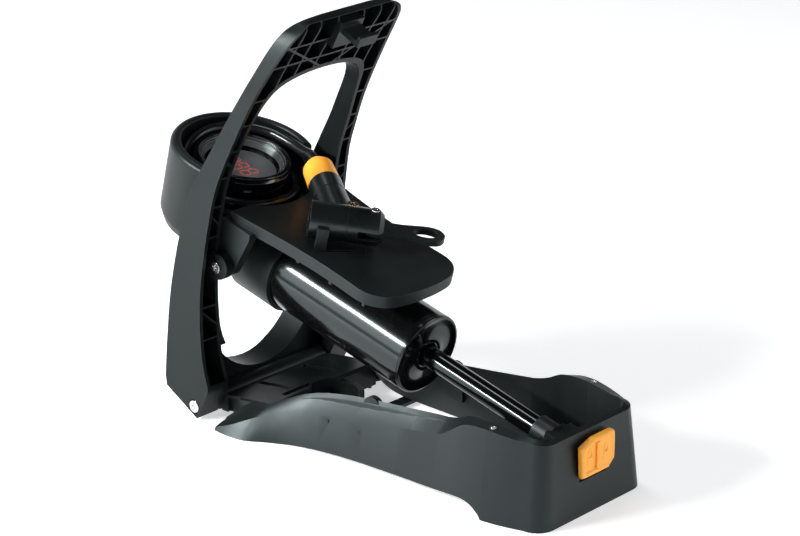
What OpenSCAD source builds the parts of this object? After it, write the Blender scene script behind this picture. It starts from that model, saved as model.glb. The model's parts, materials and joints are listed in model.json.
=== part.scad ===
// Foot air pump: floor base, folding pedal yoke, digital gauge head, single barrel, hose with valve head.
// Rest pose: pedal up, rod drawn out. X runs to the latch end, Z is up, the hinge line is at X = 0.

/* [Base] */
// Front end of the base, measured from the hinge line
base_front_x = 305; // [290:1:320]
// Height of the hinge line above the floor
hinge_z = 9.5; // [8:0.5:12]
// Wall thickness of the base mouldings
base_wall = 2.6; // [2:0.1:4]
// Half length of the rear hinge barrel
barrel_half = 53; // [48:0.5:54]
// Radius of the rear hinge barrel
barrel_r = 8.8; // [7:0.1:9.2]

/* [Pedal yoke] */
// Folding travel of the pedal yoke, degrees
fold_deg = 62; // [40:1:64]
// Wall thickness of the yoke channel
yoke_wall = 3; // [2:0.2:5]
// Radius of the round opening at the foot of the yoke
ring_r = 54.8; // [54:0.1:57]

/* [Pivots] */
// Head pivot, distance in front of the hinge line
pivot_x = 12; // [8:0.5:20]
// Head pivot height above the floor
pivot_z = 115; // [105:1:125]
// Tilt of the barrel at rest, degrees
head_tilt = 14.3; // [10:0.1:20]
// Radius of the pivot screws
pivot_r = 3; // [2:0.1:4]

/* [Barrel and rod] */
// Barrel axis below the head pivot
axis_drop = 8; // [5:0.5:12]
// Barrel outer radius
tube_r = 30; // [26:0.5:31]
// Barrel wall thickness
tube_wall = 2; // [1.5:0.1:3]
// Rear end of the barrel, along its axis from the head pivot
tube_u0 = 20; // [16:0.5:26]
// Front end of the barrel, along its axis from the head pivot
tube_u1 = 149; // [140:0.5:152]
// Piston rod radius
rod_r = 7.5; // [6:0.25:9]
// Rod eye centre, along the barrel axis from the head pivot
rod_u = 276; // [270:1:280]

/* [Gauge] */
// Gauge centre behind the head pivot
gauge_u = -48; // [-55:1:-45]
// Outer radius of the hose drum wall
drum_wall_r = 53.4; // [50:0.2:53.6]
// Rim height of the hose drum wall above the head pivot
drum_rim_v = 58; // [54:0.5:60]
// Outer radius of the gauge can
can_r = 36; // [34:0.5:37]

/* [Hose and valve head] */
// Hose outer radius
hose_r = 4; // [3:0.25:4.5]
// Mean radius of the hose turns
hose_turn_r = 41; // [40:0.25:42]
// Radius of the valve barrel
valve_r = 13; // [11:0.5:13.5]
// Radius of the valve mouth
mouth_r = 4; // [4:0.1:5.5]

/* [Latch] */
// Width of the latch button
latch_w = 36; // [28:1:42]
// Height of the latch button
latch_h = 27; // [22:1:32]

/* [Hidden] */
body_c = [0.16, 0.17, 0.18];
gloss_c = [0.05, 0.05, 0.055];
rubber_c = [0.08, 0.08, 0.085];
orange_c = [0.95, 0.45, 0.1];
steel_c = [0.75, 0.76, 0.78];
brass_c = [0.78, 0.62, 0.32];
e = 0.01;

// ---- helpers ----
function mix(a, b, t) = a + (b - a) * t;
function cr(a, b, c, d, t) = 0.5 * (2 * b + (c - a) * t + (2 * a - 5 * b + 4 * c - d) * t * t
  + (3 * b - a - 3 * c + d) * t * t * t);
function at(p, i) = p[max(0, min(len(p) - 1, i))];
function smooth(p, n) = concat([for (i = [0:len(p) - 2], k = [0:n - 1])
  cr(at(p, i - 1), at(p, i), at(p, i + 1), at(p, i + 2), k / n)], [p[len(p) - 1]]);
function rev(p) = [for (i = [len(p) - 1:-1:0]) p[i]];
function both(p) = concat(p, [for (q = rev(p)) if (abs(q[0]) > 0.001) [-q[0], q[1]]]);

// Solid through a row of closed sections with the same number of points
module loft(secs) {
  n = len(secs[0]);
  m = len(secs);
  pts = [for (s = secs) each s];
  side = [for (i = [0:m - 2], j = [0:n - 1]) let (a = i * n + j, b = i * n + (j + 1) % n)
    each [[a, b, b + n], [a, b + n, a + n]]];
  polyhedron(pts, concat(side, [rev([for (j = [0:n - 1]) j])], [[for (j = [0:n - 1]) (m - 1) * n + j]]));
}

// Round bar along a row of points, ring vectors given by two perpendicular fields
function unit(v) = v / norm(v);
module bar(path, r, k) {
  m = len(path);
  loft([for (i = [0:m - 1])
    let (d = unit(at(path, i + 1) - at(path, i - 1)), s = unit(cross([0, 0, 1], d)), w = cross(d, s))
    [for (j = [0:k - 1]) path[i] + r * (cos(360 * j / k) * s + sin(360 * j / k) * w)]]);
}

module both_sides() { children(); mirror([0, 1, 0]) children(); }
module head() { translate([pivot_x, 0, pivot_z]) rotate([0, head_tilt, 0]) children(); }
module on_axis(u) { head() translate([u, 0, -axis_drop]) rotate([0, 90, 0]) children(); }
module at_gauge() { head() translate([gauge_u, 0, 0]) children(); }
module along_y(x, z) { translate([x, 0, z]) rotate([90, 0, 0]) children(); }
module ring(r1, r0, h) { difference() { cylinder(r = r1, h = h, $fn = 72);
  translate([0, 0, -1]) cylinder(r = r0, h = h + 2, $fn = 72); } }
module folded() { translate([0, 0, hinge_z]) rotate([0, -fold_deg, 0]) translate([0, 0, -hinge_z]) children(); }

// Barrel axis at its folded, level position
park_x = pivot_x * cos(fold_deg) + (pivot_z - hinge_z) * sin(fold_deg);
park_z = hinge_z - pivot_x * sin(fold_deg) + (pivot_z - hinge_z) * cos(fold_deg) - axis_drop;
rod_eye = [pivot_x + rod_u * cos(head_tilt) - axis_drop * sin(head_tilt),
  pivot_z - rod_u * sin(head_tilt) - axis_drop * cos(head_tilt)];

// ---- base ----
// Wall stations: x, then y and z of the bottom, outer edge and ridge
stations = [
  [25, 80, 0, 79, 2.4, 71.5, 4.6], [38, 81, 0, 77, 7, 66.5, 12], [53, 79, 0, 70, 14, 60, 20],
  [70, 69, 0, 60.5, 20.5, 51, 28.5], [92, 60.5, 0.8, 53.6, 25.6, 45, 37], [128, 57.4, 3.2, 52, 29, 43.4, 44.5],
  [176, 58.4, 5.8, 52.6, 38, 43.6, 50.5], [208, 60, 7.4, 54, 44.4, 44.4, 54.6], [216, 60.5, 8, 54.6, 46, 45, 55.6],
  [226, 61.2, 8.8, 55.8, 52, 46.2, 58.4], [235, 62, 9.6, 56.9, 58.4, 47.4, 62.8], [242, 62.5, 9.8, 57.3, 61.4, 48, 64.2],
  [249, 62.9, 8.4, 57.3, 62.6, 48.2, 64.6], [254, 63.1, 5.6, 57.2, 62.8, 48.2, 64.6], [258, 63.3, 2.2, 57, 62.8, 48.1, 64.5],
  [260, 63.3, 0, 56.9, 62.7, 48, 64.4], [270, 62, 0, 55.4, 61.8, 47, 63.4], [281, 59.4, 0, 53, 60.5, 45.6, 62.2]];
corner_n = 6;
function corner(c, r, z, i) = let (a = 90 * i / corner_n) [c[0] + r * sin(a), c[1] + r * cos(a), z];
half_wall = concat(
  [for (s = smooth(stations, 3)) [[s[0], s[1], max(0, s[2])], [s[0], s[3], s[4]], [s[0], s[5], s[6]]]],
  [for (i = [0:corner_n]) [
    corner([base_front_x - 14, 42.5], 14, 0, i),
    corner([base_front_x - 16, 38.5], 11.5, mix(60, 58.5, i / corner_n), i),
    corner([base_front_x - 17, 37], 8.5, mix(62, 59.8, i / corner_n), i)]]);
function toward(p, q, t) = let (d = [q[0] - p[0], q[1] - p[1]]) [p[0] + d[0] * t / norm(d), p[1] + d[1] * t / norm(d)];
function wall_section(s) =
  let (b = s[0], m = s[1], r = s[2], w = base_wall, gap = norm([m[0] - r[0], m[1] - r[1]]) - w - 0.4,
    ri = toward(r, b, w), bi = toward(b, r, w), mi = toward(m, r, min(w, gap)), low = max(b[2] + 0.4, min(6, r[2] - 2.6)),
    top = max(low + 0.3, r[2] - w))
  [b, m, r, [r[0], r[1], low], [ri[0], ri[1], low], [ri[0], ri[1], top],
    [mi[0], mi[1], min(top, max(b[2] + 0.3, m[2] - w))], [bi[0], bi[1], b[2]]];
wall_path = concat([for (s = half_wall) wall_section([for (p = s) [p[0], -p[1], p[2]]])],
  [for (s = rev(half_wall)) wall_section(s)]);

module base_frame() color(body_c) {
  difference() {
    loft(wall_path);
    // latch window and the slot under it
    translate([base_front_x - 25, -12, 33]) cube([40, 24, 16]);
    translate([base_front_x - 25, -14, 24]) cube([40, 28, 1.6]);
    // rim screw seats
    both_sides() translate([261, 52.4, 60.9]) cylinder(r = 2.1, h = 6, $fn = 24);
  }
  // floor of the box with its two rails
  difference() {
    translate([0, 0, 5]) linear_extrude(2.6) polygon([[168, -53], [224, -54.5], [262, -55], [290, -48],
      [297, -38], [297, 38], [290, 48], [262, 55], [224, 54.5], [168, 53]]);
    translate([168, 0, 3]) scale([1, 1.55, 1]) cylinder(r = 27, h = 8, $fn = 64);
    translate([238, -7, 3]) cube([24, 14, 8]);
  }
  both_sides() translate([206, 20, 7]) cube([88, 2.4, 7]);
  both_sides() translate([206, 33, 7]) cube([88, 2.4, 5]);
  // inner ledge at the front wall
  both_sides() translate([base_front_x - 16, 23, 50]) cube([7, 17, 2.4]);
  both_sides() translate([base_front_x - 16, 23, 7]) cube([6, 2.4, 45]);
  // lugs on the inner faces of the side walls
  both_sides() difference() {
    union() {
      along_y(145, 41) translate([0, 0, 40.4]) cylinder(r = 8, h = 4.4, $fn = 40);
      translate([137, -44.8, 20]) cube([16, 4.4, 21]);
    }
    along_y(145, 41) translate([0, 0, 36]) cylinder(r = 2.6, h = 8, $fn = 24);
  }
  // low ties between the walls
  translate([89, -57, 1.2]) cube([10, 114, 2.6]);
  // struts inside the hollow side walls
  both_sides() for (x = [110, 140, 170, 200]) translate([x, 50.2, 7]) cube([2, 3.4, 18]);
}

module base_deck() color(body_c) {
  // sloping deck plate between the ridges
  difference() {
    union() {
      rotate([90, 0, 0]) linear_extrude(2 * barrel_half, center = true)
        polygon([[7, 14.2], [30, 17.6], [55, 20.2], [58, 18.6], [58, 3], [55.4, 3], [55.4, 16.6], [30, 14.8], [7, 11.6]]);
      both_sides() loft([
        [[25.4, 52.9, 16.8], [25.4, 71, 4.4], [25.4, 71, 1.4], [25.4, 52.9, 13.8]],
        [[38, 52.9, 18.3], [38, 65.9, 10.8], [38, 65.9, 7.8], [38, 52.9, 15.3]],
        [[53, 52.9, 20], [53, 59.7, 18.6], [53, 59.7, 15.6], [53, 52.9, 17]]]);
      along_y(0, hinge_z) cylinder(r = barrel_r, h = 2 * barrel_half, center = true, $fn = 64);
      translate([5, -barrel_half, 1.2]) cube([6, 2 * barrel_half, 13]);
      for (y = [-50, -16, 14, 47]) translate([6, y, 1.2]) cube([51, 2.4, 12.5]);
      // round rest for the barrel collar
      translate([66, 0, 3]) cylinder(r = 22, h = 14, $fn = 64);
    }
    translate([66, 0, 6]) cylinder(r = 17.5, h = 30, $fn = 64);
    // room for the folded legs and for the level pump head
    both_sides() rotate([90, 0, 0]) translate([0, 0, 54.9]) linear_extrude(30)
      polygon([[14, -1], [21.4, 3], [29.7, 10.8], [39.7, 19.6], [54.8, 29.6], [54.8, 50], [0, 50]]);
    translate([park_x - 19.5, 0, park_z]) rotate([0, 90, 0]) {
      cylinder(r1 = 27, r2 = 34, h = 5, $fn = 72);
      translate([0, 0, 5 - e]) cylinder(r = 34, h = 40, $fn = 72);
    }
    translate([12, -24, 10]) cube([32, 5, 20]);
    translate([46, -34, 10]) cube([5, 28, 20]);
    translate([12, 20, 10]) cube([32, 5, 20]);
    // spring pockets and pin bores
    along_y(0, hinge_z) both_sides2() translate([0, 0, 38]) cylinder(r = 7.2, h = 12, $fn = 48);
    along_y(0, hinge_z) cylinder(r = pivot_r, h = 120, center = true, $fn = 40);
  }
}
module both_sides2() { children(); mirror([0, 0, 1]) children(); }

module rod_saddle() color(body_c) {
  // open-topped cradle for the rod pin
  translate([rod_eye[0] - 16, -19.6, 7.7]) cube([27, 39.2, 3]);
  both_sides() difference() {
    rotate([90, 0, 0]) translate([0, 0, -19]) linear_extrude(6)
      polygon([[rod_eye[0] - 14, 8], [rod_eye[0] + 11, 8], [rod_eye[0] + 9, rod_eye[1] + 3],
        [rod_eye[0] - 9, rod_eye[1] + 7]]);
    along_y(rod_eye[0], rod_eye[1]) translate([0, 0, -30]) cylinder(r = 4.4, h = 60, $fn = 40);
    translate([rod_eye[0], 10, rod_eye[1]]) rotate([0, 33, 0]) translate([-5, 0, 0]) cube([10, 12, 20]);
  }
}

module foot_pads() color(rubber_c) {
  both_sides() translate([44, 66.5, 0]) cylinder(r = 7, h = 2.4, $fn = 40);
  both_sides() translate([272, 48, 0]) cylinder(r = 7, h = 4.9, $fn = 40);
  // heel pad under the hinge barrel
  cylinder(r = 6, h = hinge_z - barrel_r - 0.05, $fn = 40);
}

module screw_head(r, h) {
  difference() {
    cylinder(r = r, h = h, $fn = 40);
    for (a = [0, 90]) rotate([0, 0, a]) translate([-r * 0.55, -0.45, h * 0.45]) cube([r * 1.1, 0.9, h]);
  }
}
module base_screws() color(steel_c) {
  both_sides() translate([261, 52.4, 61]) { cylinder(r = 1.4, h = 2, $fn = 24); translate([0, 0, 1.4]) screw_head(2, 1.5); }
}

module hinge_pins() color(steel_c) {
  both_sides() along_y(0, hinge_z) {
    translate([0, 0, 40]) cylinder(r = pivot_r - 0.02, h = 34, $fn = 40);
    translate([0, 0, 74]) screw_head(4.6, 2);
  }
}
module hinge_bushes() color(rubber_c) {
  both_sides() along_y(0, hinge_z) translate([0, 0, 57]) ring(5.6, pivot_r + 0.03, 17);
}

module coil(r, wire, p, n) {
  path = [for (i = [0:n * 16]) let (a = 360 * i / 16) [r * cos(a), r * sin(a), p * i / 16]];
  loft([for (i = [0:len(path) - 1]) let (a = 360 * i / 16, s = [cos(a), sin(a), 0], w = [0, 0, 1])
    [for (j = [0:7]) path[i] + wire * (cos(45 * j) * s + sin(45 * j) * w)]]);
}
module return_springs() color(steel_c) {
  both_sides() along_y(0, hinge_z) translate([0, 0, 39.2]) coil(5.4, 0.8, 1.85, 5);
}

// ---- pedal yoke ----
yoke_front = smooth([[3, 1.2], [11.5, 18], [14.5, 26], [11.5, 37], [8.5, 50], [6.8, 68], [6.4, 85], [6.9, 100],
  [9, 122], [12.4, 145], [19, 175], [29.2, 200], [38.4, 220], [49, 240], [61, 260], [74.4, 280], [82.5, 291], [86, 297]], 3);
yoke_rear = smooth([[80, 303.5], [73, 297], [66.4, 288], [57.4, 274], [48, 259], [34.5, 238], [22.8, 219], [13.6, 203],
  [-1, 178], [-8.7, 162], [-16.6, 131], [-20.5, 111], [-24.6, 84], [-27.6, 50], [-29.2, 26]], 3);
yoke_side = concat(yoke_front, [[86, 301]], yoke_rear, [[-28, 18.5]]);
yoke_outer = both(smooth([[76, 0], [75.6, 26], [74.6, 60], [73, 100], [71.4, 122], [69.8, 145], [68.6, 165],
  [66.2, 192], [63.4, 218], [61, 250], [58.6, 268], [56.6, 280], [53.6, 290], [49, 297], [42, 301], [30, 303], [0, 304.6]], 3));
opening_side = smooth([[ring_r, 74.5], [55.6, 100], [56, 122], [56.2, 144], [55.6, 168], [55, 184], [54, 200],
  [51.8, 216], [48.8, 232], [45.4, 241.4], [40, 248.8], [30, 253.8], [15, 256.8], [0, 257.6]], 3);
function opening(g) = both(concat([for (a = [-90:7.5:-1]) [(ring_r + g) * cos(a), 74.5 + (ring_r + g) * sin(a)]],
  [for (p = opening_side) [p[0] < 1 ? 0 : p[0] + g, p[1] + (p[1] > 235 ? g : 0)]]));
module side_plate(w) { rotate([90, 0, 0]) linear_extrude(w, center = true) polygon(yoke_side); }
module front_plate(d) { rotate([90, 0, 90]) linear_extrude(d) children(); }
pivot_ys = 54.4;

module pedal_yoke() color(body_c) {
  difference() {
    union() {
      intersection() {
        side_plate(170);
        translate([-40, 0, 0]) front_plate(140) difference() { polygon(yoke_outer); polygon(opening(0)); }
      }
      // ears carrying the head pivot
      both_sides() along_y(pivot_x, pivot_z) translate([0, 0, pivot_ys]) cylinder(r = 9.5, h = 6.4, $fn = 56);
      both_sides() translate([-4, -pivot_ys - 6.4, pivot_z - 9.5]) cube([16, 6.4, 19]);
    }
    // clearance for the base barrel, and the underside of the rear cross member
    translate([-5, -55.4, -5]) cube([40, 110.8, 58]);
    along_y(0, hinge_z) cylinder(r = barrel_r + 0.6, h = 110.8, center = true, $fn = 64);
    hook_block(0.1);
    translate([-60, -55.4, -5]) cube([58, 110.8, 14.4]);
    // open channel, ribbed, facing forward
    difference() {
      intersection() {
        translate([yoke_wall + 0.4, 0, 0]) side_plate(170);
        translate([-40, 0, 0]) front_plate(150) difference() {
          polygon([for (p = yoke_outer) [p[0] - sign(p[0]) * yoke_wall, min(p[1], 300.6)]]);
          polygon(opening(yoke_wall));
        }
      }
      translate([-60, -100, -10]) cube([160, 200, 38]);
      translate([-60, -58, 0]) cube([160, 116, 68]);
      for (z = [60, 84, 137, 160, 182, 203, 223, 242]) translate([-60, -100, z]) cube([180, 200, 1.4]);
      for (y = [-44, -30, -13, 12, 29, 43]) translate([0, y, 250]) cube([100, 1.4, 60]);
      for (z = [268, 283]) translate([0, -70, z]) cube([100, 140, 1.4]);
      both_sides() for (z = [62, 138, 184]) translate([-60, 50, z]) rotate([42, 0, 0]) cube([180, 34, 1.2]);
      both_sides() translate([0, 0, 256]) rotate([28, 0, 0]) cube([100, 60, 1.4]);
      both_sides() along_y(pivot_x, pivot_z) translate([0, 0, pivot_ys]) cylinder(r = 11, h = 6.4, $fn = 56);
    }
    both_sides() along_y(pivot_x, pivot_z) translate([0, 0, 50]) cylinder(r = pivot_r + 2.02, h = 16, $fn = 40);
    both_sides() along_y(0, hinge_z) translate([0, 0, 54]) cylinder(r = 5.62, h = 40, $fn = 40);
  }
}

module hook_block(g) { folded() translate([272 - g, -11 - g, 66 - g]) cube([22 + 2 * g, 22 + 2 * g, 8 + g]); }
module pedal_hook() color(body_c) {
  hook_block(0);
  // hook that drops behind the latch when the pedal is down
  folded() translate([285.5, -9, 49]) cube([4, 18, 18]);
  folded() translate([285.5, -9, 49]) cube([8, 18, 3]);
}

// ---- head: pivots ----
module pivot_screws() color(steel_c) {
  both_sides() head() rotate([90, 0, 0]) {
    translate([0, 0, 47]) cylinder(r = pivot_r, h = 14, $fn = 40);
    translate([0, 0, 61]) screw_head(4.2, 2.2);
  }
}
module pivot_bushes() color(rubber_c) {
  both_sides() along_y(pivot_x, pivot_z) translate([0, 0, pivot_ys]) ring(pivot_r + 2, pivot_r + 0.03, 6.4);
}

// ---- head: housing ----
plate_half = [[-6, 50], [8, 49], [22, 47.2], [47, 44.6], [75, 43.2], [98, 43.4], [114, 44], [123, 42], [130.4, 36.4],
  [135.2, 28], [137.4, 15], [138.2, 0]];
drum_rim = [for (a = [0:15:90]) [drum_wall_r - 4.6 + 4.6 * cos(a), drum_rim_v - 4.6 + 4.6 * sin(a)],
  for (a = [90:22.5:180]) [48 + 2 * cos(a), drum_rim_v - 2 + 2 * sin(a)]];
module drum_housing() color(body_c) at_gauge() difference() {
  rotate_extrude($fn = 96) polygon([each drum_rim, [46, 27], [37, 27], [37, 24.4], [50.6, 24.4],
    [50.6, 5], [44, -4.6], [14, -4.6], [14, -7.4], [44.6, -7.4], [50, -5], [drum_wall_r, 3]]);
  // the tall wall is open at the front, where the hose leaves
  translate([0, 0, 30]) linear_extrude(40) polygon([[0, 0], [100 * cos(60), -100 * sin(60)], [100, -40],
    [100 * cos(38), 100 * sin(38)]]);
  translate([0, 0, 48.6]) linear_extrude(40) polygon([[0, 0], [100 * cos(37), 100 * sin(37)], [100 * cos(68), 100 * sin(68)]]);
}
plate_line = smooth(concat(plate_half, [for (q = rev(plate_half)) if (q[1] > 0) [q[0], -q[1]]]), 3);
module carrier_plate() color(body_c) {
  head() difference() {
    union() {
      difference() {
        translate([0, 0, 30.5]) linear_extrude(9) polygon(plate_line);
        translate([0, 0, 29]) linear_extrude(7) difference() {
          offset(delta = -2.6) polygon(plate_line);
          translate([-20, -60]) square([46, 120]);
        }
      }
      // pivot ears below the plate
      both_sides() hull() {
        translate([-11, 46, 28]) cube([29, 7.4, 5]);
        rotate([-90, 0, 0]) translate([0, 0, 46]) cylinder(r = 9, h = 7.4, $fn = 48);
      }
      both_sides() translate([25, 29, 27]) cube([102, 2.4, 10]);
      for (x = [54, 86, 118]) translate([x, -42, 27.5]) cube([2.4, 84, 9]);
    }
    translate([gauge_u, 0, 0]) cylinder(r = drum_wall_r + 0.2, h = 60, $fn = 96);
    rotate([90, 0, 0]) cylinder(r = pivot_r, h = 140, center = true, $fn = 40);
    for (p = head_screw_at) translate([p[0], p[1], 30]) cylinder(r = 1.55, h = 8, $fn = 24);
    // slot in front of the valve clip
    translate([66, -33, 38]) rotate([0, 0, 60]) cube([34, 2.6, 3]);
  }
}
module pump_head() color(body_c) {
  difference() {
    union() {
      on_axis(-14) cylinder(r = 33, h = 38, $fn = 96);
      on_axis(-14) translate([0, 0, -4]) cylinder(r1 = 27, r2 = 33, h = 4 + e, $fn = 96);
      head() translate([-22, -16, -12]) cube([40, 32, 42.5]);
      head() translate([0, -24, 22]) cube([22, 48, 8.5]);
    }
    on_axis(tube_u0) cylinder(r = tube_r + 0.02, h = 20, $fn = 96);
    on_axis(10) cylinder(r = tube_r - tube_wall - 1, h = 20, $fn = 96);
    on_axis(-10) cylinder(r = 3.2, h = 30, $fn = 32);
    on_axis(3) cylinder(r = 5, h = 8, $fn = 32);
    at_gauge() translate([0, 0, -5.2]) cylinder(r = drum_wall_r + 0.3, h = 80, $fn = 96);
    at_gauge() translate([0, 0, -7.7]) cylinder(r = 50.4, h = 80, $fn = 96);
  }
}
head_screw_at = [[64, 20], [64, -20], [104, 20], [104, -20]];
module head_screws() color(steel_c) {
  head() for (p = head_screw_at)
    translate([p[0], p[1], 35.8]) rotate([180, 0, 0]) { translate([0, 0, -2]) cylinder(r = 1.5, h = 2 + e, $fn = 24); screw_head(3, 1.8); }
}

// ---- gauge ----
module gauge_can() color(gloss_c) at_gauge() difference() {
  union() {
    translate([0, 0, 27.1]) cylinder(r = can_r, h = 19.4, $fn = 96);
    translate([0, 0, 46.5]) cylinder(r1 = can_r, r2 = can_r - 2.2, h = 2, $fn = 96);
  }
  translate([0, 0, 29.5]) cylinder(r = 30, h = 30, $fn = 96);
}
module gauge_bezel() color(gloss_c) at_gauge() rotate_extrude($fn = 96) polygon([[33.4, 48.6], [33, 50], [32, 50.5],
  [31.2, 50.2], [27.4, 44.6], [27.4, 43], [29.9, 43], [29.9, 48.6]]);
module gauge_lens() color([0.8, 0.82, 0.85]) at_gauge() translate([0, 0, 41.8]) cylinder(r = 29.8, h = 1.2, $fn = 72);
module gauge_display() color([0.55, 0.56, 0.55]) at_gauge() translate([0, 0, 38.4]) cylinder(r = 27.2, h = 1.6, $fn = 72);
// one block digit from seven bars
module digit(on) {
  bars = [[0, 8.6, 5, 1.2], [4.4, 4.8, 1.2, 4], [4.4, 0.4, 1.2, 4], [0, -0.6, 5, 1.2], [-0.6, 0.4, 1.2, 4],
    [-0.6, 4.8, 1.2, 4], [0, 4, 5, 1.2]];
  for (i = on) translate([bars[i][0], bars[i][1], 0]) cube([bars[i][2], bars[i][3], 0.3]);
}
module gauge_digits() color([0.75, 0.2, 0.18]) at_gauge() translate([-15, -9.5, 40]) scale([1.3, 1.7, 1]) {
  for (i = [0:2]) translate([8.4 * i, 0, 0]) digit([0, 1, 2, 3, 4, 5, 6]);
}
module gauge_board() color([0.1, 0.3, 0.16]) at_gauge() translate([0, 0, 36]) cylinder(r = 28, h = 1.6, $fn = 64);
module button_cell() color(steel_c) at_gauge() translate([0, 0, 31.6]) cylinder(r = 10, h = 3.2, $fn = 56);
module cell_cover() color(gloss_c) at_gauge() translate([0, 0, -9.6]) { cylinder(r = 13.8, h = 4.6, $fn = 56); }

// ---- barrel and rod ----
module barrel() color(gloss_c) on_axis(tube_u0 + 0.1) ring(tube_r, tube_r - tube_wall, tube_u1 - tube_u0);
module barrel_seal() color(rubber_c) on_axis(10.1) ring(26.9, 22.5, 9);
module front_cap() color(gloss_c) on_axis(0) rotate_extrude($fn = 96) polygon([[rod_r + 1.4, tube_u1 - 12],
  [tube_r - tube_wall, tube_u1 - 12], [tube_r - tube_wall, tube_u1 + 0.1], [tube_r, tube_u1 + 0.1], [tube_r, tube_u1 + 1.4],
  [tube_r - 1, tube_u1 + 2.2], [tube_r - 4, tube_u1 + 2.2], [tube_r - 6, tube_u1 - 6], [rod_r + 6, tube_u1 - 7.5],
  [rod_r + 5, tube_u1 - 5], [rod_r + 1.4, tube_u1 - 5]]);
module rod_wiper() color(rubber_c) on_axis(tube_u1 - 11.5) ring(rod_r + 1.4, rod_r + 0.04, 6);
piston_u = tube_u1 - 24;
module piston() color([0.7, 0.7, 0.68]) on_axis(piston_u) difference() {
  union() { cylinder(r = 27.4, h = 3, $fn = 72); cylinder(r = 24.6, h = 9, $fn = 72); translate([0, 0, 7]) cylinder(r = 27.4, h = 3, $fn = 72); }
  translate([0, 0, 2]) cylinder(r = rod_r, h = 20, $fn = 48);
}
module piston_ring() color(rubber_c) on_axis(piston_u + 3.1) ring(27.7, 24.62, 3.8);
module piston_rod() color(gloss_c) on_axis(piston_u + 2.1) cylinder(r = rod_r - 0.01, h = rod_u - piston_u - 13, $fn = 64);
module rod_foot() color(body_c) difference() {
  union() {
    on_axis(rod_u - 22) cylinder(r = rod_r + 2.4, h = 14, $fn = 56);
    head() translate([rod_u - 10, -9.5, -axis_drop - 8]) cube([15, 19, 16]);
  }
  on_axis(rod_u - 30) cylinder(r = rod_r, h = 19.2, $fn = 56);
  along_y(rod_eye[0], rod_eye[1]) cylinder(r = 4.02, h = 40, center = true, $fn = 40);
}
module rod_pin() color(steel_c) along_y(rod_eye[0], rod_eye[1]) cylinder(r = 4, h = 40, center = true, $fn = 40);
module check_ball() color(steel_c) on_axis(7) sphere(r = 2.9, $fn = 32);
module check_spring() color(steel_c) on_axis(10.4) coil(2.6, 0.35, 1.2, 4);

// ---- hose ----
// angle, radius and height of the hose round the gauge can, from the barb to the sleeve
hose_turns = [[508, 32], [480, 32], [420, 32], [360, 32.2], [320, 32.6], [285, 33.6], [262, 35.6], [235, 40], [205, 45.5], [175, 49.5],
  [145, 51.6], [100, 52.6]];
function arc_pts(a0, z0, a1, z1) = [for (k = [0:5]) let (t = k / 6, a = mix(a0, a1, t))
  [gauge_u + hose_turn_r * cos(a), hose_turn_r * sin(a), mix(z0, z1, t)]];
hose_line = concat([for (i = [0:len(hose_turns) - 2]) each arc_pts(hose_turns[i][0], hose_turns[i][1],
  hose_turns[i + 1][0], hose_turns[i + 1][1])],
  smooth([[gauge_u + hose_turn_r * cos(100), hose_turn_r * sin(100), 52.6], [gauge_u + 41.3 * cos(76), 41.3 * sin(76), 53.6],
    [gauge_u + 44 * cos(57), 44 * sin(57), 55.4], [-14.4, 34.6, 57.6], [-5, 29, 58.6], [0, 25.6, 58.4]], 6));
module hose() color(gloss_c) head() bar(hose_line, hose_r, 12);
module hose_barb() color(brass_c) head() translate([gauge_u + hose_turn_r * cos(508), hose_turn_r * sin(508), 32])
  rotate([90, 0, 508 - 360]) translate([0, 0, -3]) difference() { cylinder(r = hose_r + 0.9, h = 6.5, $fn = 32);
    translate([0, 0, -1]) cylinder(r = hose_r + 0.25, h = 9, $fn = 32); }

// sleeve line from the valve body back to the hose
sleeve_a = [54, -6, 53.5];
sleeve_b = [-3, 27.6, 58.5];
sleeve_len = norm(sleeve_b - sleeve_a);
module on_sleeve(t) {
  d = sleeve_b - sleeve_a;
  head() translate(sleeve_a) rotate([0, acos(d[2] / sleeve_len), atan2(d[1], d[0])]) translate([0, 0, t]) children();
}
module hose_sleeve() color(orange_c) difference() {
  on_sleeve(39) { cylinder(r1 = 12, r2 = 11.2, h = 20, $fn = 56);
    translate([0, 0, 20 - e]) cylinder(r1 = 11.2, r2 = 8.4, h = 4.6, $fn = 56); }
  on_sleeve(30) cylinder(r = hose_r + 0.05, h = 60, $fn = 40);
}
module strain_sleeve() color(body_c) on_sleeve(24.2) { cylinder(r1 = 12, r2 = 12.2, h = 14.7, $fn = 72); }

// ---- valve head ----
module on_valve(t) { head() translate([44.5, -25.5, 53.5]) rotate([0, 90, 45]) translate([0, 0, t]) children(); }
module elbow(r) { on_sleeve(-4) cylinder(r1 = r, r2 = r - 0.8, h = 28, $fn = 72); }
module valve_body() color(body_c) difference() {
  union() { on_valve(0) cylinder(r = valve_r, h = 26, $fn = 72); elbow(12.6); }
  on_valve(-1) cylinder(r = mouth_r + 3.4, h = 12, $fn = 40);
  on_valve(-1) cylinder(r = mouth_r, h = 24, $fn = 40);
  screw_pocket();
}
module screw_pocket() { head() translate([59.4, 0.4, 62.6]) cylinder(r = 3.85, h = 12, $fn = 40); }
module valve_cover() color(body_c) difference() {
  on_valve(26.2) { cylinder(r = valve_r, h = 22, $fn = 72);
    translate([0, 0, 22 - e]) cylinder(r1 = valve_r, r2 = valve_r - 3, h = 3.4, $fn = 72); }
  elbow(12.75);
  // slot for the lever, open on both sides
  on_valve(33.6) translate([-1.8, -20, 0]) cube([5.6, 40, 30]);
  on_lever(-30) cylinder(r = 2, h = 140, $fn = 32);
  screw_pocket();
}
module mouth_seal() color(rubber_c) on_valve(1.4) ring(mouth_r + 3.38, mouth_r, 9);
lever_at = [75.9, 5.9];
module on_lever(v) { head() translate([lever_at[0], lever_at[1], v]) rotate([0, 0, 45]) children(); }
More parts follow.
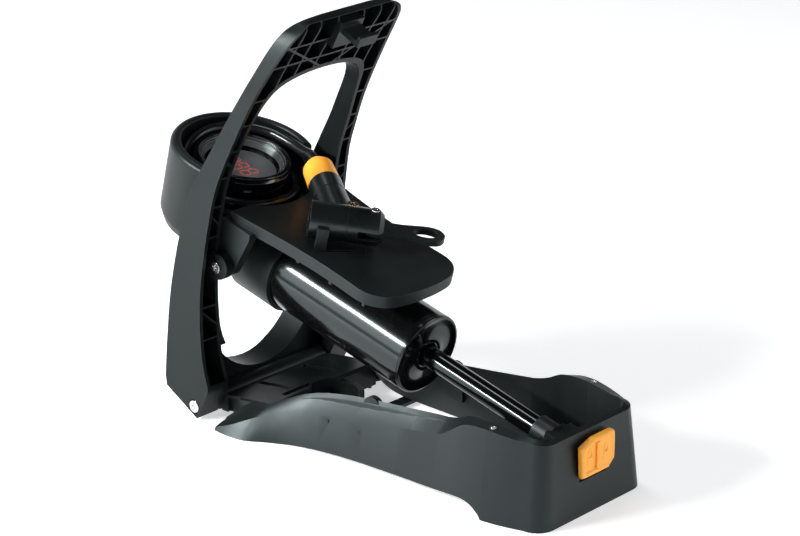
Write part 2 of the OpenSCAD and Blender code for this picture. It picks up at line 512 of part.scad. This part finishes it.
lever_half = [[-8.4, 0], [-6, 6], [0, 8.6], [10, 8.2], [20, 7.6], [30, 8.8], [40, 9.8], [48, 7.4], [51.6, 0]];
module valve_lever() color(body_c) on_lever(50.2) difference() {
  linear_extrude(4.6) difference() {
    polygon(smooth(concat(lever_half, [for (q = rev(lever_half)) if (q[1] > 0) [q[0], -q[1]]]), 3));
    translate([38, 0]) scale([1, 0.62]) circle(r = 9, $fn = 48);
  }
  translate([0, 0, -1]) cylinder(r = 2.05, h = 8, $fn = 32);
}
module lever_pin() color(steel_c) { on_lever(42) cylinder(r = 2, h = 24.8, $fn = 32); on_lever(66.6) screw_head(2.9, 1.2); }
module valve_screw() color(brass_c) head() translate([59.4, 0.4, 62.6]) screw_head(3.8, 3);
module valve_clip() color(body_c) difference() {
  on_valve(6) translate([-2, -valve_r - 4.6, 0]) cube([16, 7, 8]);
  on_valve(-10) cylinder(r = valve_r + 0.1, h = 60, $fn = 72);
}

// ---- latch ----
module latch_button() color(orange_c) difference() {
  translate([base_front_x - 1.2, 0, 41]) rotate([90, 0, 90]) {
    linear_extrude(4.2) polygon([[-latch_w / 2, -latch_h / 2 + 4], [-latch_w / 2 + 4, -latch_h / 2], [latch_w / 2 - 4, -latch_h / 2],
      [latch_w / 2, -latch_h / 2 + 4], [latch_w / 2, latch_h / 2 - 4], [latch_w / 2 - 4, latch_h / 2],
      [-latch_w / 2 + 4, latch_h / 2], [-latch_w / 2, latch_h / 2 - 4]]);
  }
  for (i = [-2:2]) translate([base_front_x + 2.2, 8 + i * 2.6, 32]) cube([2, 1, 18]);
}
module latch_slide() color(rubber_c) {
  translate([base_front_x - 9.2, -6, 36]) cube([8, 12, 10]);
  translate([base_front_x - 11, -16, 38]) cube([2.2, 32, 6]);
}
module latch_keeper() color(steel_c) translate([base_front_x - 10.2, -14, 34]) cube([1, 28, 1]);

base_frame();
base_deck();
rod_saddle();
foot_pads();
base_screws();
hinge_pins();
hinge_bushes();
return_springs();
pedal_yoke();
pedal_hook();
pivot_screws();
pivot_bushes();
drum_housing();
carrier_plate();
pump_head();
head_screws();
gauge_can();
gauge_bezel();
gauge_lens();
gauge_display();
gauge_digits();
gauge_board();
button_cell();
cell_cover();
barrel();
barrel_seal();
front_cap();
rod_wiper();
piston();
piston_ring();
piston_rod();
rod_foot();
rod_pin();
check_ball();
check_spring();
hose();
hose_barb();
hose_sleeve();
strain_sleeve();
valve_body();
valve_cover();
mouth_seal();
valve_lever();
lever_pin();
valve_screw();
valve_clip();
latch_button();
latch_slide();
latch_keeper();
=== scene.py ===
"""Looks of the foot air pump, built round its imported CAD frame."""
import json
import math

import bmesh
import bpy
from mathutils import Matrix, Vector


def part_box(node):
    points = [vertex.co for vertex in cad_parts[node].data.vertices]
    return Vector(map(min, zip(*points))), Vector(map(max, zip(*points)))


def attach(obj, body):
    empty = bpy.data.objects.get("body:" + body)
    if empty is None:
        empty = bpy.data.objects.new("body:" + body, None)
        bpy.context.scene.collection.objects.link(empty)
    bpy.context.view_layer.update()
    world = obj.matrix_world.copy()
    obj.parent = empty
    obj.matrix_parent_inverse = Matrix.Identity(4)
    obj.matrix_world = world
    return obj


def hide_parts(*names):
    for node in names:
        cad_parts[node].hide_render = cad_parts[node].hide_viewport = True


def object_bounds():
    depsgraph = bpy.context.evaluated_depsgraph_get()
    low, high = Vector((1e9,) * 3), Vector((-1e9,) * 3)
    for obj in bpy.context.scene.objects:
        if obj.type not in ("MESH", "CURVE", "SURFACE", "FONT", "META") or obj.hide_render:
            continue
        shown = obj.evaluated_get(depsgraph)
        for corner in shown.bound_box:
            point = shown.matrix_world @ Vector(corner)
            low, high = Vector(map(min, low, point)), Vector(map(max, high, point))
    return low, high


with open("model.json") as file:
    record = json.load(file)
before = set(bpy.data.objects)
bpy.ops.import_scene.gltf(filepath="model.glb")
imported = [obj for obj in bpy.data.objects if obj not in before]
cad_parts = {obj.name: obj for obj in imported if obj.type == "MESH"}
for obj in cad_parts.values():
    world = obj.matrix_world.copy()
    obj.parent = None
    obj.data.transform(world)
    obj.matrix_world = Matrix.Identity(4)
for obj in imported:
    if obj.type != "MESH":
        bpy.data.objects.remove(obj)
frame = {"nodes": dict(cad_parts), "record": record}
cad_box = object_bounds()
nodes = frame["nodes"]

MM = 0.001

# ---------------------------------------------------------------- camera
TARGET = Vector((52.05, 85.63, 83.90)) * MM
CAMERA_AT = Vector((1305.7, -1285.5, 780.1)) * MM
camera = bpy.data.objects.new("camera", bpy.data.cameras.new("camera"))
bpy.context.scene.collection.objects.link(camera)
camera.data.sensor_width = 36.0
camera.data.lens = 121.5
camera.data.clip_start = 0.05
camera.location = CAMERA_AT
camera.rotation_euler = (TARGET - CAMERA_AT).to_track_quat("-Z", "Y").to_euler()
bpy.context.scene.camera = camera

# ---------------------------------------------------------------- light
bpy.context.scene.view_settings.view_transform = "Standard"
world = bpy.data.worlds.new("studio")
bpy.context.scene.world = world
world.use_nodes = True
sky = world.node_tree


PAPER = (0.96, 0.98, 1.0, 1)
DARK = (0.010, 0.010, 0.011, 1)
# heights of the view direction, 0 level and 1 straight up, where the paper ends and the dark begins
PAPER_TOP, CEILING = 0.27, 0.40
# how nearly a direction must point at the camera before the room behind it turns dark
ROOM_SIDE, ROOM_MIDDLE = 0.70, 0.90


def world_ramp():
    """White low down, like a paper sweep, with a dark ceiling and a dark room behind the camera."""
    place = sky.nodes.new("ShaderNodeTexCoord")
    part = sky.nodes.new("ShaderNodeSeparateXYZ")
    ramp = sky.nodes.new("ShaderNodeValToRGB")
    sky.links.new(place.outputs["Generated"], part.inputs[0])
    sky.links.new(part.outputs["Z"], ramp.inputs["Fac"])
    toward = sky.nodes.new("ShaderNodeVectorMath")
    toward.operation = "DOT_PRODUCT"
    sky.links.new(place.outputs["Generated"], toward.inputs[0])
    toward.inputs[1].default_value = (math.cos(CAMERA_AZIMUTH), math.sin(CAMERA_AZIMUTH), 0.0)
    behind = sky.nodes.new("ShaderNodeMapRange")
    sky.links.new(toward.outputs["Value"], behind.inputs["Value"])
    behind.inputs["From Min"].default_value = ROOM_SIDE
    behind.inputs["From Max"].default_value = ROOM_MIDDLE
    room = sky.nodes.new("ShaderNodeMix")
    room.data_type = "RGBA"
    sky.links.new(behind.outputs["Result"], room.inputs["Factor"])
    sky.links.new(ramp.outputs["Color"], room.inputs[6])
    room.inputs[7].default_value = DARK
    sky.links.new(room.outputs[2], sky.nodes["Background"].inputs["Color"])
    stops = ramp.color_ramp.elements
    stops[0].position, stops[0].color = PAPER_TOP, PAPER
    stops[1].position, stops[1].color = CEILING, DARK
    sky.nodes["Background"].inputs["Strength"].default_value = 1.0


CAMERA_AZIMUTH = math.radians(-47.6)
world_ramp()


def area_light(name, place, aim, width, height, power):
    light = bpy.data.lights.new(name, "AREA")
    light.shape = "RECTANGLE"
    light.size, light.size_y = width, height
    light.energy = power
    holder = bpy.data.objects.new(name, light)
    bpy.context.scene.collection.objects.link(holder)
    holder.location = place
    holder.rotation_euler = (Vector(aim) - Vector(place)).to_track_quat("-Z", "Y").to_euler()
    return holder


def aimed(azimuth, elevation, distance):
    """A place in the direction given, seen from the middle of the object."""
    az, el = math.radians(azimuth), math.radians(elevation)
    return MIDDLE + distance * Vector((math.cos(el) * math.cos(az), math.cos(el) * math.sin(az),
                                       math.sin(el)))


MIDDLE = Vector((0.11, 0.0, 0.1))
# name, azimuth and elevation in degrees, distance, width and height in metres, watts
LIGHTS = [("side_box", -128, 17, 1.7, 1.3, 0.75, 8), ("strip_box", -121, 27, 1.6, 0.9, 0.12, 40),
          ("top_strip", 170, 74, 1.5, 0.22, 0.9, 5), ("right_box", 35, 28, 1.8, 0.8, 0.7, 8)]
for light_name, azimuth, elevation, distance, width, height, watts in LIGHTS:
    area_light(light_name, aimed(azimuth, elevation, distance), MIDDLE, width, height, watts)


# ---------------------------------------------------------------- materials
class Tree:
    """A material's node tree with short calls for the nodes used here."""

    def __init__(self, name):
        self.material = bpy.data.materials.new(name)
        self.material.use_nodes = True
        self.nodes = self.material.node_tree.nodes
        self.links = self.material.node_tree.links
        self.shader = self.nodes["Principled BSDF"]

    def add(self, kind, **values):
        node = self.nodes.new(kind)
        for key, value in values.items():
            if hasattr(node, key):
                setattr(node, key, value)
            else:
                node.inputs[key.replace("_", " ")].default_value = value
        return node

    def join(self, a, b):
        self.links.new(a, b)

    def place(self):
        return self.add("ShaderNodeTexCoord").outputs["Object"]

    def noise(self, scale, detail=3.0, roughness=0.55):
        node = self.add("ShaderNodeTexNoise", Scale=scale, Detail=detail, Roughness=roughness)
        self.join(self.place(), node.inputs["Vector"])
        return node.outputs["Fac"]

    def span(self, source, low, high, from_low=0.0, from_high=1.0):
        node = self.add("ShaderNodeMapRange", From_Min=from_low, From_Max=from_high, To_Min=low,
                        To_Max=high)
        self.join(source, node.inputs["Value"])
        return node.outputs["Result"]

    def blend(self, factor, a, b):
        node = self.add("ShaderNodeMix", data_type="RGBA")
        self.join(factor, node.inputs["Factor"])
        for socket, value in ((node.inputs[6], a), (node.inputs[7], b)):
            if isinstance(value, tuple):
                socket.default_value = (*value, 1)
            else:
                self.join(value, socket)
        return node.outputs[2]

    def math(self, operation, a, b):
        node = self.add("ShaderNodeMath", operation=operation)
        for socket, value in ((node.inputs[0], a), (node.inputs[1], b)):
            if isinstance(value, (int, float)):
                socket.default_value = value
            else:
                self.join(value, socket)
        return node.outputs[0]

    def edges(self, radius):
        """1 on sharp edges, 0 on the flats."""
        soft = self.add("ShaderNodeBevel", samples=3, Radius=radius)
        plain = self.add("ShaderNodeNewGeometry")
        dot = self.add("ShaderNodeVectorMath", operation="DOT_PRODUCT")
        self.join(soft.outputs[0], dot.inputs[0])
        self.join(plain.outputs["Normal"], dot.inputs[1])
        return self.span(dot.outputs["Value"], 1.0, 0.0, 0.75, 0.97)

    def bump(self, height, strength, distance):
        node = self.add("ShaderNodeBump", Strength=strength, Distance=distance)
        self.join(height, node.inputs["Height"])
        self.join(node.outputs["Normal"], self.shader.inputs["Normal"])
        return node


def moulded(name, colour, worn, rough, grain, grain_height, gloss=0.5, wear=0.5, rough_spread=0.08):
    """Moulded plastic or rubber: fine grain, cloudy gloss, edges polished and a little paler."""
    t = Tree(name)
    cloud = t.noise(38.0, 4.0)
    speck = t.noise(grain, 2.0)
    mottle = t.blend(t.span(cloud, 0.0, 1.0, 0.3, 0.7), colour,
                     tuple(c * 1.18 + 0.0004 for c in colour))
    rub = t.math("MULTIPLY", t.edges(0.0008), t.span(t.noise(160.0), wear * 0.25, wear, 0.35, 0.7))
    t.join(t.blend(rub, mottle, worn), t.shader.inputs["Base Color"])
    t.join(t.math("SUBTRACT", t.span(cloud, rough - rough_spread, rough + rough_spread, 0.25, 0.75),
                  t.math("MULTIPLY", rub, 0.12)), t.shader.inputs["Roughness"])
    t.shader.inputs["Specular IOR Level"].default_value = gloss
    t.shader.inputs["Specular Tint"].default_value = (*SHEEN, 1)
    t.bump(t.math("ADD", speck, t.math("MULTIPLY", cloud, 0.15)), 0.6, grain_height)
    return t.material


def metal(name, colour, rough, stripe=0.0):
    t = Tree(name)
    grain = t.noise(700.0, 2.0)
    t.join(t.blend(t.span(t.noise(90.0), 0.0, 1.0, 0.3, 0.7), colour,
                   tuple(c * 0.82 for c in colour)),
           t.shader.inputs["Base Color"])
    t.join(t.span(grain, rough * 0.7, rough * 1.35), t.shader.inputs["Roughness"])
    t.shader.inputs["Metallic"].default_value = 1.0
    t.bump(grain, 0.25, 0.00003)
    return t.material


SHEEN = (0.86, 1.0, 1.03)
BODY = moulded("body_matt", (0.0050, 0.0068, 0.0070), (0.045, 0.052, 0.053), 0.42, 2600.0, 0.00005,
               0.36)
# painted shade: a darker, duller copy of the body plastic, so the yoke and drum look less lit than
# the same plastic elsewhere
BODY_PAINTED_SHADE = moulded("body_painted_shade", (0.0042, 0.0058, 0.0060), (0.040, 0.047, 0.048), 0.42, 2600.0, 0.00005,
               0.22)
GLOSS = moulded("gloss_black", (0.0022, 0.0026, 0.0026), (0.012, 0.012, 0.012), 0.13, 240.0,
                0.0000006, 0.5, 0.2, 0.02)
SATIN = moulded("valve_satin", (0.0046, 0.0060, 0.0062), (0.05, 0.055, 0.056), 0.31, 2600.0,
                0.00002, 0.6)
HOSE = moulded("hose_rubber", (0.006, 0.006, 0.0065), (0.03, 0.03, 0.03), 0.24, 1400.0, 0.00001,
               0.5, 0.3, 0.05)
RUBBER = moulded("seal_rubber", (0.01, 0.01, 0.01), (0.03, 0.03, 0.03), 0.62, 2200.0, 0.00005, 0.35)
ORANGE = moulded("orange_satin", (0.98, 0.40, 0.032), (0.98, 0.55, 0.18), 0.40, 2200.0, 0.00003,
                 0.5, 0.35)
STEEL = metal("bright_steel", (0.74, 0.75, 0.77), 0.22)
BRASS = metal("turned_brass", (0.80, 0.58, 0.30), 0.25)
ACETAL = moulded("acetal", (0.55, 0.55, 0.52), (0.7, 0.7, 0.68), 0.45, 1800.0, 0.00003)
BOARD = moulded("circuit_board", (0.012, 0.10, 0.035), (0.1, 0.3, 0.15), 0.35, 1200.0, 0.00003)


def lcd_panel():
    t = Tree("lcd_panel")
    stripe = t.add("ShaderNodeTexWave", Scale=900.0)
    t.join(t.place(), stripe.inputs["Vector"])
    t.join(t.blend(stripe.outputs["Fac"], (0.15, 0.155, 0.155), (0.17, 0.175, 0.175)),
           t.shader.inputs["Base Color"])
    t.join(t.span(t.noise(60.0), 0.28, 0.4), t.shader.inputs["Roughness"])
    t.bump(t.noise(900.0), 0.2, 0.00001)
    return t.material


def lens_clear():
    t = Tree("lens_clear")
    t.shader.inputs["Base Color"].default_value = (0.95, 0.97, 1.0, 1)
    t.shader.inputs["Transmission Weight"].default_value = 1.0
    t.shader.inputs["IOR"].default_value = 1.12
    t.join(t.span(t.noise(45.0), 0.0, 0.05), t.shader.inputs["Roughness"])
    t.bump(t.noise(120.0), 0.05, 0.00002)
    return t.material


LCD = lcd_panel()
LENS = lens_clear()
SILVER = moulded("silver_plastic", (0.035, 0.038, 0.04), (0.4, 0.4, 0.4), 0.16, 900.0, 0.000004,
                 0.8, 0.2, 0.04)
WHITE = moulded("white_print", (0.8, 0.8, 0.8), (0.9, 0.9, 0.9), 0.4, 1500.0, 0.00001)
DIGITS = moulded("digit_red", (0.85, 0.17, 0.13), (0.9, 0.3, 0.24), 0.4, 1500.0, 0.00001)

SLOT_LOOK = {"body_plastic": BODY, "gloss_black": GLOSS, "hose_rubber": HOSE, "seal_rubber": RUBBER,
             "bush_plastic": RUBBER,
             "steel": STEEL, "brass": BRASS, "orange_plastic": ORANGE, "piston_plastic": ACETAL,
             "lens": LENS,
             "lcd": LCD, "digits": DIGITS, "board": BOARD}


def dress(thing, material):
    thing.data.materials.clear()
    thing.data.materials.append(material)


def soften(thing, width, segments=2, angle=30.0):
    weld = thing.modifiers.new("weld", "WELD")
    weld.merge_threshold = 0.00001
    flat = thing.modifiers.new("flat", "DECIMATE")
    flat.decimate_type = "DISSOLVE"
    flat.angle_limit = math.radians(0.6)
    round_off = thing.modifiers.new("round", "BEVEL")
    round_off.width = width
    round_off.segments = segments
    round_off.limit_method = "ANGLE"
    round_off.angle_limit = math.radians(angle)
    round_off.harden_normals = False
    round_off.use_clamp_overlap = True
    for face in thing.data.polygons:
        face.use_smooth = True
    even = thing.modifiers.new("even", "WEIGHTED_NORMAL")
    even.keep_sharp = True
    even.weight = 60


# the yoke and drum get the darker copy of the body plastic as painted shade
NODE_LOOK = {"pedal_yoke": BODY_PAINTED_SHADE, "drum_housing": BODY_PAINTED_SHADE, "valve_body": SATIN, "valve_cover": SATIN,
             "strain_sleeve": SATIN}
for entry in frame["record"]["subparts"]:
    name = entry["node"]
    dress(nodes[name], NODE_LOOK.get(name, SLOT_LOOK[entry["material_slot"]]))

EDGE_MM = {"base_frame": 0.8, "base_deck": 0.5, "pedal_yoke": 0.8, "drum_housing": 0.6,
           "carrier_plate": 0.7,
           "pump_head": 0.6, "gauge_can": 0.3, "valve_body": 0.5, "valve_cover": 0.5,
           "valve_lever": 0.7,
           "latch_button": 0.7, "hose_sleeve": 0.5, "strain_sleeve": 0.3, "rod_foot": 0.6,
           "barrel": 0.4}
for name, thing in nodes.items():
    soften(thing, EDGE_MM.get(name, 0.2) * MM)

# ---------------------------------------------------------------- pieces made here
PIVOT = Vector((12.0, 0.0, 115.0)) * MM
TILT = math.radians(14.3)
GAUGE_U, BARREL_END_U, AXIS_DROP = -48.0, 149.0, 8.0
HEAD = Matrix.Translation(PIVOT) @ Matrix.Rotation(TILT, 4, "Y")
GAUGE = HEAD @ Matrix.Translation(Vector((GAUGE_U, 0.0, 0.0)) * MM)


def piece(name, shape, at, body, look, replaces=(), bevel=0.0, segments=2, angle=35.0):
    """A finished mesh piece: placed, shaded, bevelled and tied to its body."""
    bmesh.ops.recalc_face_normals(shape, faces=shape.faces)
    bmesh.ops.transform(shape, matrix=at, verts=shape.verts)
    mesh = bpy.data.meshes.new(name)
    shape.to_mesh(mesh)
    shape.free()
    thing = bpy.data.objects.new(name, mesh)
    bpy.context.scene.collection.objects.link(thing)
    for face in mesh.polygons:
        face.use_smooth = True
    mesh.materials.append(look)
    if bevel:
        soften(thing, bevel * MM, segments, angle)
    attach(thing, body)
    if replaces:
        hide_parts(*replaces)
    return thing


def lathe(outline, steps=128):
    """Closed solid of revolution about Z from a closed outline of (radius, height) in mm."""
    shape = bmesh.new()
    rings = []
    for k in range(steps):
        a = 2 * math.pi * k / steps
        rings.append([shape.verts.new((r * MM * math.cos(a), r * MM * math.sin(a), z * MM)) for r,
                      z in outline])
    count = len(outline)
    for k in range(steps):
        here, there = rings[k], rings[(k + 1) % steps]
        for j in range(count):
            i = (j + 1) % count
            shape.faces.new((here[j], there[j], there[i], here[i]))
    bmesh.ops.remove_doubles(shape, verts=shape.verts, dist=1e-6)
    return shape


def prism(shape, outline, low, high):
    """Adds a closed prism: outline in mm (x, y), from low to high along z."""
    bottom = [shape.verts.new((x * MM, y * MM, low * MM)) for x, y in outline]
    top = [shape.verts.new((x * MM, y * MM, high * MM)) for x, y in outline]
    shape.faces.new(list(reversed(bottom)))
    shape.faces.new(top)
    for j in range(len(outline)):
        i = (j + 1) % len(outline)
        shape.faces.new((bottom[j], bottom[i], top[i], top[j]))


def block(shape, x0, y0, z0, x1, y1, z1):
    prism(shape, [(x0, y0), (x1, y0), (x1, y1), (x0, y1)], z0, z1)


def frame_ring(shape, outer, inner, low, high):
    """A closed flat ring between two outlines with the same number of points."""
    loops = [[shape.verts.new((x * MM, y * MM, z * MM)) for x, y in line]
             for line, z in ((outer, low), (outer, high), (inner, high), (inner, low))]
    count = len(outer)
    for k in range(4):
        here, there = loops[k], loops[(k + 1) % 4]
        for j in range(count):
            i = (j + 1) % count
            shape.faces.new((here[j], here[i], there[i], there[j]))


def catmull(points, n):
    out = []
    last = len(points) - 1
    for i in range(last):
        a, b, c, d = (Vector(points[max(0, min(last, j))]) for j in (i - 1, i, i + 1, i + 2))
        for k in range(n):
            u = k / n
            bend, twist = 2 * a - 5 * b + 4 * c - d, 3 * b - a - 3 * c + d
            out.append(0.5 * (2 * b + (c - a) * u + bend * u * u + twist * u ** 3))
    out.append(Vector(points[last]))
    return out


def tube(points, radius, sides=24):
    """Round tube of a radius in mm along points in mm, with closed ends."""
    shape = bmesh.new()
    last = len(points) - 1
    rings = []
    for i, p in enumerate(points):
        along = (points[min(last, i + 1)] - points[max(0, i - 1)]).normalized()
        side = Vector((0, 0, 1)).cross(along).normalized()
        lift = along.cross(side)
        rings.append([shape.verts.new((p + radius * (math.cos(a) * side + math.sin(a) * lift)) * MM)
                      for a in (2 * math.pi * k / sides for k in range(sides))])
    for here, there in zip(rings, rings[1:]):
        for j in range(sides):
            i = (j + 1) % sides
            shape.faces.new((here[j], here[i], there[i], there[j]))
    shape.faces.new(rings[0])
    shape.faces.new(list(reversed(rings[-1])))
    return shape


# -- gauge: bezel, stepped window ring, panel marks
bezel = [(33.5, 48.55), (34.4, 48.7), (35.0, 49.1), (34.9, 49.9), (34.3, 50.35), (33.3, 50.5),
         (32.4, 50.45), (31.8, 50.1),
         (31.5, 49.4), (31.5, 48.6), (32.0, 48.55)]
piece("bezel_ring", lathe(bezel), GAUGE, "head", GLOSS, ("gauge_bezel",))
steps = [(31.45, 49.3), (31.0, 49.5), (30.6, 49.2), (30.5, 48.1), (30.1, 48.2), (29.75, 47.9),
         (29.65, 46.8), (29.25, 46.9),
         (28.9, 46.6), (28.8, 45.5), (28.4, 45.6), (28.05, 45.3), (27.9, 44.2), (27.6, 44.2),
         (27.4, 43.9), (27.4, 43.1),
         (29.9, 43.1), (29.9, 47.2), (31.45, 48.5)]
piece("window_step_ring", lathe(steps), GAUGE, "head", SILVER)


PANEL_TOP = 40.02


def segment(shape, x, y, length, upright, lean, z):
    """One six-sided bar of a seven-bar digit."""
    h, t = length / 2, 0.85
    line = [(-h, 0), (-h + t, t), (h - t, t), (h, 0), (h - t, -t), (-h + t, -t)]
    if upright:
        line = [(b, a) for a, b in reversed(line)]
    prism(shape, [(x + a + lean * (y + b), y + b) for a, b in line], z, z + 0.28)


def panel_marks():
    digits = bmesh.new()
    wide, tall = 6.2, 6.6
    for k in range(3):
        x = -10.5 + 9.4 * k
        for dx, dy, upright in ((0, tall, 0), (0, 0, 0), (0, -tall, 0), (-wide / 2, tall / 2, 1),
                                (wide / 2, tall / 2, 1),
                                (-wide / 2, -tall / 2, 1), (wide / 2, -tall / 2, 1)):
            segment(digits, x + dx, dy, (tall if upright else wide) - 0.7, upright, 0.12, PANEL_TOP)
    piece("panel_digits", digits, GAUGE, "head", DIGITS, ("gauge_digits",))
    small = bmesh.new()
    block(small, 13.0, -8.4, PANEL_TOP, 18.5, -7.4, 40.25)
    prism(small, [(19.2, -9.6), (22.4, -7.9), (19.2, -6.2)], PANEL_TOP, 40.25)
    prism(small, [(14.0, -6.4), (15.6, -4.4), (17.2, -6.4)], PANEL_TOP, 40.25)
    piece("panel_marks", small, GAUGE, "head", WHITE)
    frame_line = bmesh.new()
    outer = [(26.9 * math.cos(a),
              26.9 * math.sin(a)) for a in (2 * math.pi * k / 72 for k in range(72))]
    inner = [(x * 0.955, y * 0.955) for x, y in outer]
    frame_ring(frame_line, outer, inner, PANEL_TOP, 40.2)
    piece("panel_edge", frame_line, GAUGE, "head", GLOSS)


panel_marks()


# -- barrel end: smooth face with a rolled rim and a low boss round the rod
TUBE_END = (HEAD @ Matrix.Translation(Vector((BARREL_END_U, 0.0, -AXIS_DROP)) * MM)
            @ Matrix.Rotation(math.radians(90), 4, "Y"))
cap = [(8.9, -12.0), (27.95, -12.0), (27.95, 0.1), (29.9, 0.1), (29.9, 1.0), (29.5, 1.8),
       (28.6, 2.15), (27.6, 2.0), (26.8, 1.3),
       (20.0, 1.5), (14.2, 1.6), (13.4, 2.1), (10.2, 2.15), (9.0, 1.8)]
piece("barrel_face", lathe(cap), TUBE_END, "head", GLOSS, ("front_cap",))


# -- hose: wound round the gauge can, then up and out to the sleeve
def hose_points():
    turns = [(508, 32.0), (480, 32.0), (420, 32.0), (360, 32.2), (320, 32.6), (285, 33.6),
             (262, 35.6), (235, 40.0), (205, 45.5),
             (175, 49.5), (145, 51.6), (100, 52.6)]
    radius, centre = 41.0, GAUGE_U

    def on_turn(angle, r, z):
        a = math.radians(angle)
        return (centre + r * math.cos(a), r * math.sin(a), z)

    marks = [on_turn(angle, radius, z) for angle, z in turns]
    dense = []
    for (a0, z0), (a1, z1) in zip(turns, turns[1:]):
        dense += [on_turn(a0 + (a1 - a0) * k / 4, radius, z0 + (z1 - z0) * k / 4) for k in range(4)]
    tail = [marks[-1], on_turn(76, 41.3, 53.6), on_turn(57, 44.0, 55.4), (-14.4, 34.6, 57.6),
            (-5.0, 29.0, 58.6), (0.0, 25.6, 58.4)]
    return catmull(dense + tail, 5)


piece("wound_hose", tube(hose_points(), 3.98), HEAD, "head", HOSE, ("hose",))


# -- latch button
def latch():
    outline = [(-17.2, 8.0), (-16.4, 9.8), (-6.0, 13.2), (-2.0, 13.5), (13.6, 13.5), (16.6, 12.4),
               (18.0, 9.4), (18.0, -6.6),
               (17.0, -8.8), (12.6, -12.4), (10.2, -13.4), (-12.6, -13.5), (-15.0, -12.6),
               (-16.0, -10.4)]
    ring = [tuple(v)[:2] for v in catmull([(x, y, 0) for x, y in outline + outline[:1]], 3)][:-1]

    def shrunk(gap):
        return [(x * (1 - gap / 17.5), y * (1 - gap / 13.2)) for x, y in ring]

    shape = bmesh.new()
    heights = [(0.0, 0.0), (0.0, 2.3), (0.35, 3.1), (1.0, 3.75), (1.9, 4.1), (3.0, 4.15),
               (3.5, 3.9), (3.9, 3.2), (4.4, 2.9)]
    loops = [[shape.verts.new((x * MM, y * MM, h * MM)) for x, y in shrunk(g)] for g, h in heights]
    for here, there in zip(loops, loops[1:]):
        for j in range(len(ring)):
            i = (j + 1) % len(ring)
            shape.faces.new((here[j], here[i], there[i], there[j]))
    shape.faces.new(loops[-1])
    shape.faces.new(list(reversed(loops[0])))
    # raised right half and the step down its middle
    right = [(0.6, 10.2), (0.2, 7.5), (0.2, -7.5), (1.0, -9.9), (9.4, -9.9), (11.4, -9.0),
             (14.2, -5.6), (14.2, 8.0), (12.6, 10.2)]
    prism(shape, right, 2.4, 4.0)
    prism(shape, [(-1.6, 9.2), (-1.6, -9.4), (0.6, -9.4), (0.6, 9.2)], 2.4, 4.2)
    for centre_x, top in ((-8.0, 3.2), (7.6, 4.2)):
        loop = [(centre_x + 2.3 * math.cos(a),
                 3.0 + 3.0 * math.sin(a)) for a in (2 * math.pi * k / 24 for k in range(24))]
        hole = [(centre_x + 1.5 * math.cos(a),
                 3.0 + 2.2 * math.sin(a)) for a in (2 * math.pi * k / 24 for k in range(24))]
        frame_ring(shape, loop, hole, top - 0.6, top)
        block(shape, centre_x - 2.9, -5.4, top - 0.6, centre_x + 2.9, 0.8, top)
    turn = Matrix(((0, 0, 1, 0), (1, 0, 0, 0), (0, 1, 0, 0), (0, 0, 0, 1)))
    low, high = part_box("latch_button")
    at = Matrix.Translation((low[0], 0, (low[2] + high[2]) / 2)) @ turn
    piece("latch_key", shape, at, "latch", ORANGE, ("latch_button",), 0.28, 2, 40)


latch()


# ---------------------------------------------------------------- floor
floor_mesh = bpy.data.meshes.new("floor")
shape = bmesh.new()
bmesh.ops.create_grid(shape, x_segments=8, y_segments=8, size=6.0)
shape.to_mesh(floor_mesh)
shape.free()
floor = bpy.data.objects.new("floor", floor_mesh)
bpy.context.scene.collection.objects.link(floor)
floor.location.z = cad_box[0][2] - 0.0002
t = Tree("floor_paper")
t.join(t.blend(t.noise(2.0), (0.86, 0.865, 0.87), (0.88, 0.885, 0.89)),
       t.shader.inputs["Base Color"])
t.shader.inputs["Roughness"].default_value = 0.85
t.shader.inputs["Specular IOR Level"].default_value = 0.2
t.shader.inputs["Emission Color"].default_value = (0.97, 0.985, 1.0, 1)
t.shader.inputs["Emission Strength"].default_value = 0.55
floor_mesh.materials.append(t.material)
